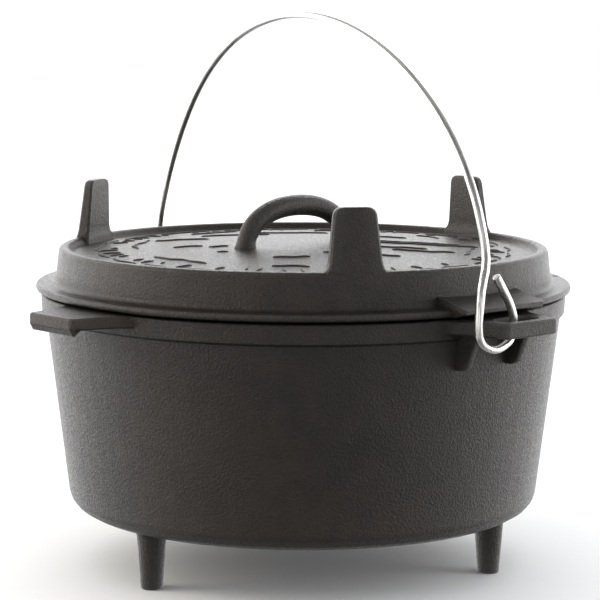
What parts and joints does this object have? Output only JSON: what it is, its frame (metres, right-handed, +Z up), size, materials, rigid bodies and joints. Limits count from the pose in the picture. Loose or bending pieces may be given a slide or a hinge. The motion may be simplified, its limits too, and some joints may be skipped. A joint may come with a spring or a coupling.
{
  "type": "dutch oven",
  "caption": "Cast iron camp dutch oven: flared pot standing on legs, flanged lid with upright feet and an arch handle, and a wire bail hooked through the pot's ears.",
  "frame": {"origin": "on the floor, under the pot's axis, at the centre of the footprint", "axes": "+Z up along the pot's axis, the two ears that carry the bail lie on +X and -X, and the two plain lugs lie on +Y and -Y"},
  "size_m": [0.3888, 0.3888, 0.3429],
  "materials": {
    "pot_cast_iron": "seasoned, satin, fine sand-cast grain",
    "lid_cast_iron": "seasoned, satin, fine sand-cast grain",
    "bail_steel_wire": "bright drawn wire with fine lengthwise lines"
  },
  "bodies": {
    "pot": {"pot": "pot_cast_iron"},
    "lid": {"lid": "lid_cast_iron"},
    "bail": {"bail": "bail_steel_wire"}
  },
  "joints": [
    {"name": "lid_lift", "type": "slide", "parent": "pot", "child": "lid", "axis": [0, 0, 1], "range_m": [0, 0.02]},
    {"name": "bail_swing", "type": "hinge", "parent": "pot", "child": "bail", "pos_m": [0, 0, 0.1664], "axis": [0.9951, -0.0989, 0], "range_deg": [-83, 83]}
  ]
}
